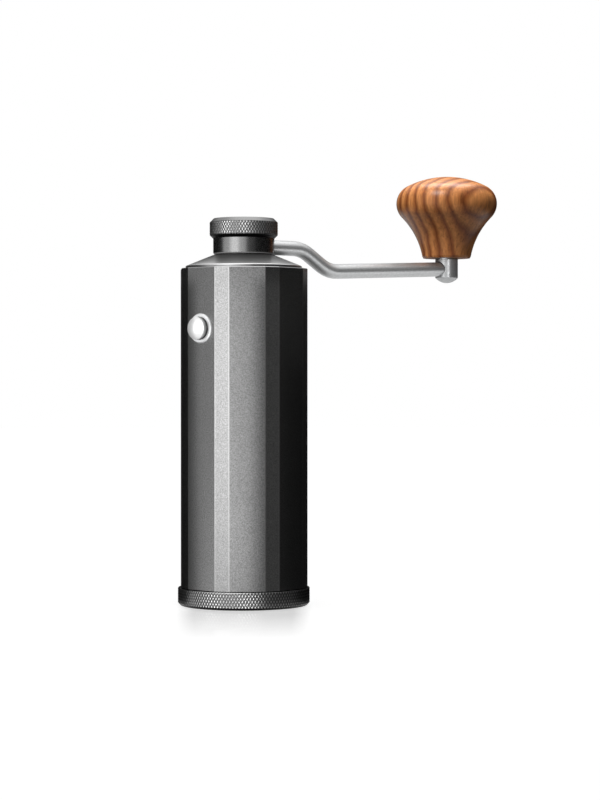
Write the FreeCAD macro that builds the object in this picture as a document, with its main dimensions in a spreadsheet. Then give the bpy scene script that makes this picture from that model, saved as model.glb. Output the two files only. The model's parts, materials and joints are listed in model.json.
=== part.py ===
import FreeCAD, Part
import Sketcher
import os

# A slim hand crank coffee grinder: a faceted body with a burr core inside, a grounds cup below, a lid and
# crank above, and a push button that releases the core. The axis is Z, the origin is where it stands.
SIZES = [
    ("base_diameter", 52.0), ("base_wall", 3.7), ("base_height", 6.85), ("base_chamfer", 1.0),
    ("base_top_chamfer", 0.25),
    ("cup_wall", 2.4), ("cup_floor", 2.0), ("cup_depth", 37.15), ("cup_headroom", 4.0),
    ("cup_foot_step", 0.8), ("cup_foot_height", 1.6), ("cup_ring_rise", 6.0),
    ("wide_flats", 49.3), ("corner_chamfer", 3.24), ("edge_round", 0.35), ("rim_chamfer", 0.2),
    ("shell_length", 125.35), ("shell_wall", 2.0), ("mouth_step", 1.35),
    ("lid_inset", 1.75), ("lid_lip", 1.1), ("lid_gap", 0.55), ("lid_seat_inset", 1.2),
    ("lid_cone_height", 4.3), ("lid_top_diameter", 24.6), ("lid_plug_depth", 8.0), ("lid_wall", 2.4),
    ("lid_ring_rise", 3.0), ("lid_edge_round", 0.4), ("lid_boss_wall", 2.0), ("lid_boss_height", 6.0),
    ("bush_wall", 1.4), ("bush_flange", 5.0), ("seal_section", 1.5), ("seal_side_gap", 0.15),
    ("hub_diameter", 24.1), ("hub_gap", 0.4), ("hub_height", 6.2), ("hub_chamfer", 0.4),
    ("spigot_diameter", 12.0), ("spigot_length", 11.7), ("hub_boss_inset", 3.0), ("hub_boss_height", 5.0),
    ("hex_flats", 6.0), ("hex_socket_depth", 10.0), ("hex_length", 14.0), ("hex_end_gap", 1.0),
    ("cap_diameter", 26.9), ("cap_height", 7.85), ("cap_top_chamfer", 1.6), ("cap_low_chamfer", 1.3),
    ("clip_thickness", 0.8), ("clip_depth", 0.6), ("clip_reach", 1.6), ("clip_opening", 2.4),
    ("washer_thickness", 0.5), ("washer_width", 2.6),
    ("crank_angle", 32.0), ("crank_radius", 104.5), ("rod_diameter", 6.0), ("rod_root", 4.0),
    ("rod_level", 24.0), ("rod_bend", 14.0), ("rod_fall_angle", 32.6), ("rod_slope", 7.7),
    ("rod_rise_angle", 2.5), ("rod_tip", 1.5), ("grub_diameter", 3.0), ("grub_socket", 1.5),
    ("grub_socket_depth", 1.6), ("grub_recess", 0.6),
    ("spindle_diameter", 9.5), ("spindle_below", 5.85), ("spindle_above", 4.0), ("spindle_dome", 2.2),
    ("pin_diameter", 6.0), ("pin_length", 21.0), ("bushing_wall", 2.0), ("bushing_length", 18.0),
    ("knob_diameter", 42.3), ("knob_height", 34.2), ("knob_neck", 20.45), ("knob_edge", 0.8),
    ("knob_crown_radius", 36.8), ("knob_shoulder_radius", 8.15), ("knob_flare_radius", 31.9),
    ("knob_bore_end_gap", 1.5),
    ("button_angle", -45.0), ("button_drop", 23.75), ("button_diameter", 8.6), ("button_reach", 3.1),
    ("button_dome", 1.4), ("button_wall", 0.8), ("button_travel", 1.6), ("stem_diameter", 2.6),
    ("nose_diameter", 4.0), ("nose_grip", 1.4), ("bezel_diameter", 11.5), ("bezel_thickness", 1.0),
    ("bezel_round", 0.4), ("bezel_gap", 0.2), ("bezel_barrel_wall", 0.7), ("bezel_floor", 0.8),
    ("keyhole_gap", 0.15), ("bracket_ring_height", 3.6), ("bracket_ring_wall", 1.7),
    ("bracket_arm_width", 5.0), ("bracket_boss_wall", 2.0), ("bearing_lip", 1.0),
    ("bearing_bore", 8.0), ("bearing_outside", 16.0), ("bearing_width", 5.0), ("ball_diameter", 2.4),
    ("race_wall", 1.1), ("lower_bearing_rise", 28.0), ("carrier_wall", 1.8),
    ("burr_inset", 0.3), ("burr_height", 11.5), ("burr_low_wall", 2.8), ("burr_top_wall", 7.0),
    ("burr_gap", 0.6), ("burr_ledge", 2.0), ("burr_ring_height", 2.5), ("burr_nose", 6.0),
    ("burr_nose_diameter", 14.0), ("burr_drop", 1.0), ("flute_depth", 1.0), ("flute_width", 1.2),
    ("drive_pin_diameter", 2.5), ("drive_pin_length", 11.0), ("drive_slot_depth", 6.0),
    ("drive_pin_lift", 1.0), ("coil_wire", 1.0), ("coil_clearance", 0.7),
    ("dial_diameter", 29.0), ("dial_height", 7.0), ("dial_notch", 1.6), ("thread_diameter", 6.0),
    ("thread_start", 1.5), ("thread_tail", 2.4), ("dial_spare", 1.2), ("click_radius", 9.0),
    ("click_ball_diameter", 2.4), ("click_pocket_depth", 4.2), ("click_wire", 0.4),
    ("small_wire", 0.5), ("running_gap", 0.05), ("seat_gap", 0.04), ("slide_gap", 0.2), ("coil_end_gap", 0.1),
]
# How far a cut runs past the face that it opens.
OVERCUT = "1"
BRACKET_ARMS = 3
BEARING_BALLS = 7
INNER_FLUTES = 12
OUTER_FLUTES = 18
DIAL_NOTCHES = 12

doc = FreeCAD.newDocument("coffee_grinder")
sheet = doc.addObject("Spreadsheet::Sheet", "sizes")
for row, (alias, size) in enumerate(SIZES, start=1):
    sheet.set(f"A{row}", alias)
    sheet.set(f"B{row}", str(size))
    sheet.setAlias(f"B{row}", alias)
doc.recompute()

# Heights up the axis, from the surface it stands on.
SHELL_BOTTOM = "sizes.base_height"
SHELL_TOP = f"({SHELL_BOTTOM} + sizes.shell_length)"
LIP_TOP = f"({SHELL_TOP} + sizes.lid_lip)"
LID_TOP = f"({LIP_TOP} + sizes.lid_cone_height)"
PLUG_BOTTOM = f"({SHELL_TOP} - sizes.lid_plug_depth)"
BOSS_BOTTOM = f"({LID_TOP} - sizes.lid_boss_height)"
HUB_BOTTOM = f"({LID_TOP} + sizes.hub_gap)"
HUB_TOP = f"({HUB_BOTTOM} + sizes.hub_height)"
HUB_BOSS_TOP = f"({HUB_TOP} + sizes.hub_boss_height)"
CAP_TOP = f"({HUB_TOP} + sizes.cap_height)"
SPIGOT_BOTTOM = f"({HUB_BOTTOM} - sizes.spigot_length)"
WASHER_TOP = f"({BOSS_BOTTOM} - sizes.running_gap)"
WASHER_BOTTOM = f"({WASHER_TOP} - sizes.washer_thickness)"
HUB_CLIP = f"({WASHER_BOTTOM} - sizes.running_gap - sizes.clip_thickness)"
ROD_HEIGHT = f"({HUB_BOTTOM} + sizes.hub_height / 2)"
SHAFT_TOP = f"({SPIGOT_BOTTOM} + sizes.hex_socket_depth - sizes.hex_end_gap)"
HEX_START = f"({SHAFT_TOP} - sizes.hex_length)"
BUTTON_HEIGHT = f"({SHELL_TOP} - sizes.button_drop)"
BRACKET_BOTTOM = f"({BUTTON_HEIGHT} + sizes.nose_diameter / 2 + 2 * sizes.slide_gap)"
CORE_TOP = f"({BRACKET_BOTTOM} + sizes.bracket_ring_height)"
CUP_TOP = f"({SHELL_BOTTOM} + sizes.cup_depth)"
CORE_BOTTOM = f"({CUP_TOP} + sizes.cup_headroom)"
UPPER_BEARING = f"({CORE_TOP} - sizes.bearing_width)"
LOWER_BEARING = f"({CORE_BOTTOM} + sizes.lower_bearing_rise)"
CARRIER_TOP = f"({LOWER_BEARING} + sizes.bearing_width + sizes.bearing_lip)"
RING_TOP = f"({CORE_BOTTOM} + sizes.burr_ring_height)"
BURR_SEAT = f"({RING_TOP} + sizes.burr_height)"
BURR_BOTTOM = f"({CORE_BOTTOM} - sizes.burr_drop)"
BURR_TOP = f"({BURR_SEAT} + sizes.burr_nose)"
SLOT_BOTTOM = f"({BURR_TOP} - sizes.drive_slot_depth)"
THREAD_TOP = f"({BURR_BOTTOM} + sizes.thread_start)"
DIAL_TOP = f"({BURR_BOTTOM} - sizes.running_gap)"
DIAL_BOTTOM = f"({DIAL_TOP} - sizes.dial_height)"
END_CLIP = f"({DIAL_BOTTOM} - sizes.dial_spare - sizes.clip_thickness)"
SHAFT_BOTTOM = f"({END_CLIP} - sizes.thread_tail)"

# Radii from the axis.
BASE_R = "(sizes.base_diameter / 2)"
FACET = "(sizes.wide_flats / 2)"
BORE_R = f"({FACET} - sizes.shell_wall)"
MOUTH_R = f"({BORE_R} - sizes.mouth_step)"
CUP_R = f"({BORE_R} - sizes.slide_gap)"
CUP_INNER_R = f"({CUP_R} - sizes.cup_wall)"
RING_HOLE_R = f"({BASE_R} - sizes.base_wall)"
NECK_R = f"({RING_HOLE_R} - sizes.seat_gap)"
NECK_INNER_R = f"({NECK_R} - sizes.cup_wall)"
FOOT_R = f"({NECK_R} + sizes.cup_foot_step)"
RING_STEP_R = f"({FOOT_R} + sizes.seat_gap)"
SLEEVE_R = f"({BORE_R} - sizes.seat_gap)"
CARRIER_R = f"({MOUTH_R} - sizes.seat_gap)"
CARRIER_BORE_R = f"({CARRIER_R} - sizes.carrier_wall)"
PLUG_R = f"({MOUTH_R} - sizes.slide_gap)"
LID_R = f"({FACET} - sizes.lid_inset)"
LID_SEAT_R = f"({LID_R} - sizes.lid_seat_inset)"
SPIGOT_R = "(sizes.spigot_diameter / 2)"
BUSH_R = f"({SPIGOT_R} + sizes.running_gap + sizes.bush_wall)"
HUB_R = "(sizes.hub_diameter / 2)"
HUB_BOSS_R = f"({HUB_R} - sizes.hub_boss_inset)"
CAP_R = "(sizes.cap_diameter / 2)"
ROD_R = "(sizes.rod_diameter / 2)"
SHAFT_R = "(sizes.bearing_bore / 2)"
BEARING_R = "(sizes.bearing_outside / 2)"
BALL_RING_R = f"(({SHAFT_R} + {BEARING_R}) / 2)"
BURR_R = f"({CARRIER_BORE_R} - sizes.burr_inset)"
LOW_BORE_R = f"({BURR_R} - sizes.burr_low_wall)"
TOP_BORE_R = f"({BURR_R} - sizes.burr_top_wall)"
THREAD_R = "(sizes.thread_diameter / 2)"
HEX_CORNER_R = "(sizes.hex_flats / 2 / cos(30))"

nodes = []


def number(expression):
    """The present value of an expression over the size sheet."""
    return float(sheet.evalExpression(expression))


def new_body(label, x="0", y="0", z="0", turn="0"):
    """An empty body, standing at x, y, z and turned about the vertical."""
    body = doc.addObject("PartDesign::Body", label)
    body.Label = label
    for path, expression in (("Base.x", x), ("Base.y", y), ("Base.z", z), ("Rotation.Angle", turn)):
        if expression != "0":
            body.setExpression("Placement." + path, expression)
    nodes.append(body)
    return body


def origin_feature(body, role):
    """One plane or axis of the body's own origin."""
    return [feature for feature in body.Origin.OriginFeatures if feature.Role == role][0]


def new_sketch(body, role, lift="0"):
    """A sketch on one of the body's origin planes, moved along its normal by lift."""
    sketch = body.newObject("Sketcher::SketchObject", body.Name + "_sketch")
    sketch.AttachmentSupport = (origin_feature(body, role), [""])
    sketch.MapMode = "FlatFace"
    if lift != "0":
        sketch.setExpression("AttachmentOffset.Base.z", lift)
    return sketch


def hold_point(sketch, geometry, position, x, y):
    """Hold one point of a sketch at a pair of expressions."""
    for kind, axis, expression in (("DistanceX", -2, x), ("DistanceY", -1, y)):
        if expression == "0":
            sketch.addConstraint(Sketcher.Constraint("PointOnObject", geometry, position, axis))
            continue
        rule = Sketcher.Constraint(kind, -1, 1, geometry, position, number(expression))
        index = sketch.addConstraint(rule)
        sketch.setExpression(f"Constraints[{index}]", expression)


def hold_radius(sketch, geometry, radius):
    """Hold the radius of a circle or an arc."""
    index = sketch.addConstraint(Sketcher.Constraint("Radius", geometry, number(radius)))
    sketch.setExpression(f"Constraints[{index}]", radius)


def spot(x, y):
    """A sketch point from a pair of expressions."""
    return FreeCAD.Vector(number(x), number(y), 0)


def bow(start, end, centre, radius):
    """The arc from start to end about a centre, through the point half way."""
    half_way = (start + end) / 2 - centre
    return Part.Arc(start, centre + half_way * (radius / half_way.Length), end)


def end_near(sketch, curve, place):
    """Which end of a sketch curve lies at a place: 1 for its start, 2 for its end."""
    start = sketch.getPoint(curve, 1)
    return 1 if (start - place).Length < (sketch.getPoint(curve, 2) - place).Length else 2


def join_ends(sketch, rule, first, second, place):
    """Join the ends of two sketch curves that meet at a place, as a corner or as a tangent."""
    ends = [end_near(sketch, curve, place) for curve in (first, second)]
    sketch.addConstraint(Sketcher.Constraint(rule, first, ends[0], second, ends[1]))


def add_outline(sketch, points, dome=None):
    """A closed outline through pairs of expressions.

    A dome is the place of the one side that bows, its radius and the height of its centre on the axis.
    """
    spots = [spot(x, y) for x, y in points]
    sides = []
    for place, (here, there) in enumerate(zip(spots, spots[1:] + spots[:1])):
        side = Part.LineSegment(here, there)
        if dome and place == dome[0]:
            side = bow(here, there, spot("0", dome[2]), number(dome[1]))
        sides.append(sketch.addGeometry(side))
    for place, side in enumerate(sides):
        following = sides[(place + 1) % len(sides)]
        corner = spots[(place + 1) % len(spots)]
        join_ends(sketch, "Coincident", side, following, corner)
        hold_point(sketch, side, end_near(sketch, side, spots[place]), *points[place])
    if dome:
        hold_radius(sketch, sides[dome[0]], dome[1])


def add_circle(sketch, x, y, radius):
    """A circle held by its centre and radius."""
    circle = sketch.addGeometry(Part.Circle(spot(x, y), FreeCAD.Vector(0, 0, 1), number(radius)))
    hold_point(sketch, circle, 3, x, y)
    hold_radius(sketch, circle, radius)


def hexagon(corner_radius):
    """The six corners of a hexagon with flats facing the sketch's vertical."""
    return [(f"{corner_radius} * cos({60 * k})", f"{corner_radius} * sin({60 * k})" if k % 3 else "0")
            for k in range(6)]


def rectangle(left, right, low, high):
    """The four corners of an upright rectangle."""
    return [(left, low), (right, low), (right, high), (left, high)]


def turn_profile(body, sketch, kind="PartDesign::Revolution"):
    """Spin a sketch about its own vertical axis, as new material or as a groove."""
    before = body.Shape.Volume if kind == "PartDesign::Groove" else 0
    feature = body.newObject(kind, body.Name + "_turn")
    feature.Profile = sketch
    feature.ReferenceAxis = (sketch, ["V_Axis"])
    feature.Angle = 360
    doc.recompute()
    if before and body.Shape.Volume >= before:
        raise RuntimeError(body.Label + ": a groove cut nothing")
    return feature


def turned(label, outline, plane="XZ_Plane", dome=None, **place):
    """A turned piece: an outline of radius and height pairs spun about the axis."""
    body = new_body(label, **place)
    sketch = new_sketch(body, plane)
    add_outline(sketch, outline, dome)
    turn_profile(body, sketch)
    return body


def extrude(body, sketch, length, reverse=False, both_ways=False, cut=False):
    """Pad or pocket a sketch, and make sure that a pocket cuts something."""
    before = body.Shape.Volume if cut else 0
    feature = body.newObject("PartDesign::Pocket" if cut else "PartDesign::Pad", body.Name + "_run")
    feature.Profile = sketch
    feature.setExpression("Length", length)
    feature.Reversed = reverse
    if both_ways:
        feature.SideType = "Symmetric"
    doc.recompute()
    if cut and body.Shape.Volume >= before:
        raise RuntimeError(body.Label + ": a pocket cut nothing")
    return feature


def repeat(body, feature, count):
    """Repeat a feature evenly about the vertical axis."""
    pattern = body.newObject("PartDesign::PolarPattern", body.Name + "_pattern")
    pattern.Originals = [feature]
    pattern.Axis = (origin_feature(body, "Z_Axis"), [""])
    pattern.Angle = 360
    pattern.Occurrences = count
    body.Tip = pattern
    doc.recompute()


def soften(body, kind, size, wanted):
    """Fillet or chamfer the edges of the body that a test picks."""
    base = body.Tip
    names = [f"Edge{place}" for place, edge in enumerate(base.Shape.Edges, start=1) if wanted(edge)]
    feature = body.newObject("PartDesign::" + kind, body.Name + "_soft")
    feature.Base = (base, names)
    feature.setExpression("Radius" if kind == "Fillet" else "Size", size)
    doc.recompute()


def ring_edge(radius, height):
    """A test for round edges of one radius at one height."""
    def wanted(edge):
        curve = edge.Curve
        is_round = isinstance(curve, Part.Circle)
        return (is_round and abs(curve.Radius - number(radius)) < 0.01
                and abs(curve.Center.z - number(height)) < 0.01)
    return wanted


def upright(edge):
    """True for a straight vertical edge."""
    return isinstance(edge.Curve, Part.Line) and abs(edge.Curve.Direction.z) > 0.999


def level_edge(height):
    """A test for edges that lie level at one height."""
    def wanted(edge):
        return all(abs(corner.Z - number(height)) < 0.01 for corner in edge.Vertexes)
    return wanted


def coil(label, mean_radius, wire, start, length, turns, plane="XZ_Plane", x="0", **place):
    """A coil spring about the sketch's vertical axis, from start, with the given overall length."""
    body = new_body(label, x=x, **place)
    sketch = new_sketch(body, plane)
    add_circle(sketch, mean_radius, f"({start} + {wire} / 2)", f"({wire} / 2)")
    helix = body.newObject("PartDesign::AdditiveHelix", body.Name + "_coil")
    helix.Profile = sketch
    helix.ReferenceAxis = (sketch, ["V_Axis"])
    helix.Mode = "height-turns-angle"
    helix.setExpression("Height", f"{length} - {wire}")
    helix.Turns = turns
    helix.Angle = 0
    helix.Growth = 0
    doc.recompute()
    return body


def seal(label, wall_radius, middle):
    """A sealing ring that reaches almost to the wall that it seals against."""
    body = new_body(label, z=middle)
    ring = body.newObject("PartDesign::AdditiveTorus", label + "_ring")
    ring.setExpression("Radius1", f"{wall_radius} - sizes.running_gap - sizes.seal_section / 2")
    ring.setExpression("Radius2", "sizes.seal_section / 2")
    doc.recompute()


def seal_groove(outer, wall_radius, low):
    """Outline points, going up the outside, of the groove for a sealing ring."""
    floor = f"({wall_radius} - sizes.running_gap - sizes.seal_section - sizes.seat_gap)"
    high = f"({low} + sizes.seal_section + 2 * sizes.seal_side_gap)"
    return [(outer, low), (floor, low), (floor, high), (outer, high)]


def seal_middle(low):
    """The height of the middle of a sealing ring in its groove."""
    return f"({low} + sizes.seal_side_gap + sizes.seal_section / 2)"


def open_clip(label, shaft_radius, bottom, **place):
    """A spring clip in a groove: a flat ring with an opening on one side."""
    inner = f"({shaft_radius} - sizes.clip_depth + sizes.running_gap)"
    outer = f"({shaft_radius} + sizes.clip_reach)"
    top = f"({bottom} + sizes.clip_thickness)"
    body = turned(label, rectangle(inner, outer, bottom, top), **place)
    sketch = new_sketch(body, "YZ_Plane")
    half = "(sizes.clip_opening / 2)"
    add_outline(sketch, rectangle(f"-{half}", half, f"{bottom} - {OVERCUT}", f"{top} + {OVERCUT}"))
    extrude(body, sketch, f"{outer} * 2", reverse=True, cut=True)


def clip_groove(radius, bottom):
    """Outline points, going up the outside, of the groove for a spring clip."""
    floor = f"({radius} - sizes.clip_depth)"
    low = f"({bottom} - sizes.running_gap)"
    high = f"({bottom} + sizes.clip_thickness + sizes.running_gap)"
    return [(radius, low), (floor, low), (floor, high), (radius, high)]


# The standing base and the grounds cup, which pull off downwards together.
CUP_RING_LOW = f"({SHELL_BOTTOM} + sizes.cup_ring_rise)"
CUP_STEP = f"({SHELL_BOTTOM} + sizes.seat_gap)"
turned("grounds_cup", [
    ("0", "0"), (FOOT_R, "0"), (FOOT_R, "sizes.cup_foot_height"), (NECK_R, "sizes.cup_foot_height"),
    (NECK_R, CUP_STEP), (CUP_R, CUP_STEP), *seal_groove(CUP_R, BORE_R, CUP_RING_LOW), (CUP_R, CUP_TOP),
    (CUP_INNER_R, CUP_TOP), (CUP_INNER_R, f"{SHELL_BOTTOM} + sizes.cup_wall"),
    (NECK_INNER_R, f"{SHELL_BOTTOM} - sizes.cup_wall"), (NECK_INNER_R, "sizes.cup_floor"),
    ("0", "sizes.cup_floor")])
seal("cup_o_ring", BORE_R, seal_middle(CUP_RING_LOW))
turned("base_ring", [
    (RING_STEP_R, "0"), (f"{BASE_R} - sizes.base_chamfer", "0"), (BASE_R, "sizes.base_chamfer"),
    (BASE_R, "sizes.base_height - sizes.base_top_chamfer"),
    (f"{BASE_R} - sizes.base_top_chamfer", "sizes.base_height"), (RING_HOLE_R, "sizes.base_height"),
    (RING_HOLE_R, "sizes.cup_foot_height"), (RING_STEP_R, "sizes.cup_foot_height")])

# The faceted body: an octagonal bar with its corners cut to narrow facets, bored in two steps.
shell = new_body("casing_shell", turn="sizes.button_angle + 180")
bar = shell.newObject("PartDesign::AdditivePrism", "octagonal_bar")
bar.Polygon = 8
bar.setExpression("Circumradius", f"{FACET} / cos(22.5)")
bar.setExpression("Height", "sizes.shell_length")
bar.Placement = FreeCAD.Placement(FreeCAD.Vector(), FreeCAD.Rotation(FreeCAD.Vector(0, 0, 1), 22.5))
bar.setExpression("Placement.Base.z", SHELL_BOTTOM)
doc.recompute()
soften(shell, "Chamfer", "sizes.corner_chamfer", upright)
soften(shell, "Fillet", "sizes.edge_round", upright)
soften(shell, "Chamfer", "sizes.rim_chamfer", level_edge(SHELL_TOP))
bores = new_sketch(shell, "XZ_Plane")
bore_start = f"({SHELL_BOTTOM} - {OVERCUT})"
bore_end = f"({SHELL_TOP} + {OVERCUT})"
add_outline(bores, [("0", bore_start), (BORE_R, bore_start), (BORE_R, CORE_TOP), (MOUTH_R, CORE_TOP),
                    (MOUTH_R, bore_end), ("0", bore_end)])
turn_profile(shell, bores, "PartDesign::Groove")

# The push button, its bezel and its latch nose, along the outward direction of one wide facet.
BUTTON_R = "(sizes.button_diameter / 2)"
STEM_R = "(sizes.stem_diameter / 2)"
NOSE_R = "(sizes.nose_diameter / 2)"
CAVITY_R = f"({BUTTON_R} + sizes.bezel_gap)"
BARREL_R = f"({CAVITY_R} + sizes.bezel_barrel_wall)"
BARREL_END = f"({BORE_R} + 2 * sizes.seat_gap)"
BEZEL_FLOOR = f"({BARREL_END} + sizes.bezel_floor)"
BEZEL_FACE = f"({FACET} + sizes.bezel_thickness)"
NOSE_OUT = f"({BARREL_END} - sizes.running_gap)"
NOSE_IN = f"({MOUTH_R} - 2 * sizes.slide_gap)"
STEM_IN = f"({NOSE_OUT} - sizes.nose_grip)"
BUTTON_FACE = f"({FACET} + sizes.button_reach)"
SKIRT_END = f"({BEZEL_FLOOR} + sizes.button_travel + sizes.slide_gap)"
ROOF = f"({BUTTON_FACE} - sizes.button_wall)"
button_place = {"plane": "XY_Plane", "z": BUTTON_HEIGHT, "turn": "sizes.button_angle + 180"}
hole = new_sketch(shell, "XZ_Plane")
add_circle(hole, "0", BUTTON_HEIGHT, f"{BARREL_R} + sizes.seat_gap")
extrude(shell, hole, "sizes.wide_flats", cut=True)
turned("button_bezel", [
    (f"{STEM_R} + sizes.keyhole_gap", BARREL_END), (BARREL_R, BARREL_END),
    (BARREL_R, f"{FACET} + sizes.seat_gap"), ("sizes.bezel_diameter / 2", f"{FACET} + sizes.seat_gap"),
    ("sizes.bezel_diameter / 2", f"{BEZEL_FACE} - sizes.bezel_round"),
    ("sizes.bezel_diameter / 2 - sizes.bezel_round", BEZEL_FACE), (CAVITY_R, BEZEL_FACE),
    (CAVITY_R, BEZEL_FLOOR), (f"{STEM_R} + sizes.keyhole_gap", BEZEL_FLOOR)], **button_place)
BUTTON_DOME_R = f"(({BUTTON_R} ^ 2 + sizes.button_dome ^ 2) / (2 * sizes.button_dome))"
button_outline = [
    ("0", STEM_IN), (STEM_R, STEM_IN), (STEM_R, ROOF), (f"{BUTTON_R} - sizes.button_wall", ROOF),
    (f"{BUTTON_R} - sizes.button_wall", SKIRT_END), (BUTTON_R, SKIRT_END), (BUTTON_R, BUTTON_FACE),
    ("0", f"{BUTTON_FACE} + sizes.button_dome")]
button_dome = (len(button_outline) - 2, BUTTON_DOME_R, f"{BUTTON_FACE} + sizes.button_dome - {BUTTON_DOME_R}")
turned("release_button", button_outline, dome=button_dome, **button_place)
turned("latch_nose", [
    ("0", NOSE_IN), (NOSE_R, NOSE_IN), (NOSE_R, NOSE_OUT), (f"{STEM_R} + sizes.seat_gap", NOSE_OUT),
    (f"{STEM_R} + sizes.seat_gap", f"{STEM_IN} - sizes.seat_gap"), ("0", f"{STEM_IN} - sizes.seat_gap")],
    **button_place)
SPRING_ROOM = f"({ROOF} - {BEZEL_FLOOR} - 2 * sizes.coil_end_gap)"
coil("button_spring", f"(({STEM_R} + {BUTTON_R} - sizes.button_wall) / 2)", "sizes.small_wire",
     f"({BEZEL_FLOOR} + sizes.coil_end_gap)", SPRING_ROOM, 3, **button_place)

# The core sleeve, with a keyhole that the latch nose sits in, open to the top for the thin stem.
sleeve = turned("core_sleeve", rectangle(MOUTH_R, SLEEVE_R, CORE_BOTTOM, CORE_TOP),
                turn="sizes.button_angle + 180")
keyhole = new_sketch(sleeve, "XZ_Plane")
add_circle(keyhole, "0", BUTTON_HEIGHT, f"{NOSE_R} + sizes.keyhole_gap")
extrude(sleeve, keyhole, "sizes.wide_flats", cut=True)
slot = new_sketch(sleeve, "XZ_Plane")
slot_half = f"({STEM_R} + sizes.keyhole_gap)"
add_outline(slot, rectangle(f"-{slot_half}", slot_half, BUTTON_HEIGHT, f"{CORE_TOP} + {OVERCUT}"))
extrude(sleeve, slot, "sizes.wide_flats", cut=True)


def spider(label, ring_outline, arms_low, arms_high, seat_bottom):
    """A ring with arms that carry a bearing seat in the middle."""
    body = turned(label, ring_outline, turn="sizes.button_angle + 180")
    arm = new_sketch(body, "XY_Plane", arms_low)
    half = "(sizes.bracket_arm_width / 2)"
    add_outline(arm, rectangle(f"-{half}", half, f"-{CARRIER_R} + sizes.bracket_ring_wall / 2", "0"))
    repeat(body, extrude(body, arm, f"{arms_high} - {arms_low}"), BRACKET_ARMS)
    boss_bottom = f"({seat_bottom} - sizes.bearing_lip)"
    seat_r = f"({BEARING_R} + sizes.seat_gap)"
    lip_r = f"({BEARING_R} - sizes.race_wall)"
    boss = new_sketch(body, "XZ_Plane")
    add_outline(boss, rectangle("0", f"{seat_r} + sizes.bracket_boss_wall", boss_bottom, arms_high))
    turn_profile(body, boss)
    below = f"({boss_bottom} - {OVERCUT})"
    above = f"({arms_high} + {OVERCUT})"
    seat = new_sketch(body, "XZ_Plane")
    add_outline(seat, [("0", below), (lip_r, below), (lip_r, seat_bottom), (seat_r, seat_bottom),
                       (seat_r, above), ("0", above)])
    turn_profile(body, seat, "PartDesign::Groove")
    return body


# The upper bracket, notched for the latch nose, and the carrier that holds the outer burr.
upper = spider("upper_bracket",
               rectangle(f"{CARRIER_R} - sizes.bracket_ring_wall", CARRIER_R, BRACKET_BOTTOM, CORE_TOP),
               BRACKET_BOTTOM, CORE_TOP, UPPER_BEARING)
notch = new_sketch(upper, "XZ_Plane")
notch_half = f"({NOSE_R} + sizes.keyhole_gap)"
add_outline(notch, rectangle(f"-{notch_half}", notch_half, f"{BRACKET_BOTTOM} - {OVERCUT}",
                             f"{CORE_TOP} + {OVERCUT}"))
notch.setExpression("AttachmentOffset.Base.z", f"-({CARRIER_R} - sizes.bracket_ring_wall - {OVERCUT})")
extrude(upper, notch, BORE_R, cut=True)
SEAT_R = f"({BURR_R} + sizes.seat_gap)"
LEDGE_R = f"({BURR_R} - sizes.burr_ledge)"
LEDGE_TOP = f"({BURR_SEAT} + sizes.burr_ledge)"
spider("burr_carrier", [
    (SEAT_R, CORE_BOTTOM), (CARRIER_R, CORE_BOTTOM), (CARRIER_R, CARRIER_TOP), (CARRIER_BORE_R, CARRIER_TOP),
    (CARRIER_BORE_R, LEDGE_TOP), (LEDGE_R, LEDGE_TOP), (LEDGE_R, BURR_SEAT), (SEAT_R, BURR_SEAT)],
    LOWER_BEARING, CARRIER_TOP, LOWER_BEARING)


def bearing(label, bottom):
    """A ball bearing: two grooved races and a set of balls."""
    top = f"({bottom} + sizes.bearing_width)"
    middle = f"({bottom} + sizes.bearing_width / 2)"
    track = "(sizes.ball_diameter / 2 + sizes.running_gap)"
    races = {"inner_race": (f"({SHAFT_R} + sizes.seat_gap)", f"({SHAFT_R} + sizes.race_wall)"),
             "outer_race": (f"({BEARING_R} - sizes.race_wall)", BEARING_R)}
    for name, (inner, outer) in races.items():
        body = turned(f"{label}_{name}", rectangle(inner, outer, bottom, top))
        groove = new_sketch(body, "XZ_Plane")
        add_circle(groove, BALL_RING_R, middle, track)
        turn_profile(body, groove, "PartDesign::Groove")
    balls = []
    for place in range(BEARING_BALLS):
        ball = doc.addObject("Part::Sphere", f"{label}_ball_{place}")
        angle = 360 * place / BEARING_BALLS
        ball.setExpression("Radius", "sizes.ball_diameter / 2")
        ball.setExpression("Placement.Base.x", f"{BALL_RING_R} * cos({angle})")
        ball.setExpression("Placement.Base.y", f"{BALL_RING_R} * sin({angle})")
        ball.setExpression("Placement.Base.z", middle)
        balls.append(ball)
    group = doc.addObject("Part::Compound", f"{label}_balls")
    group.Links = balls
    nodes.append(group)


bearing("upper_bearing", UPPER_BEARING)
bearing("lower_bearing", LOWER_BEARING)


def flank_flutes(body, low_point, high_point, deep_low, deep_high, count):
    """Straight cutting flutes along a conical flank."""
    flute = new_sketch(body, "XZ_Plane")
    add_outline(flute, [low_point, high_point, deep_high, deep_low])
    repeat(body, extrude(body, flute, "sizes.flute_width", both_ways=True, cut=True), count)


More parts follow.
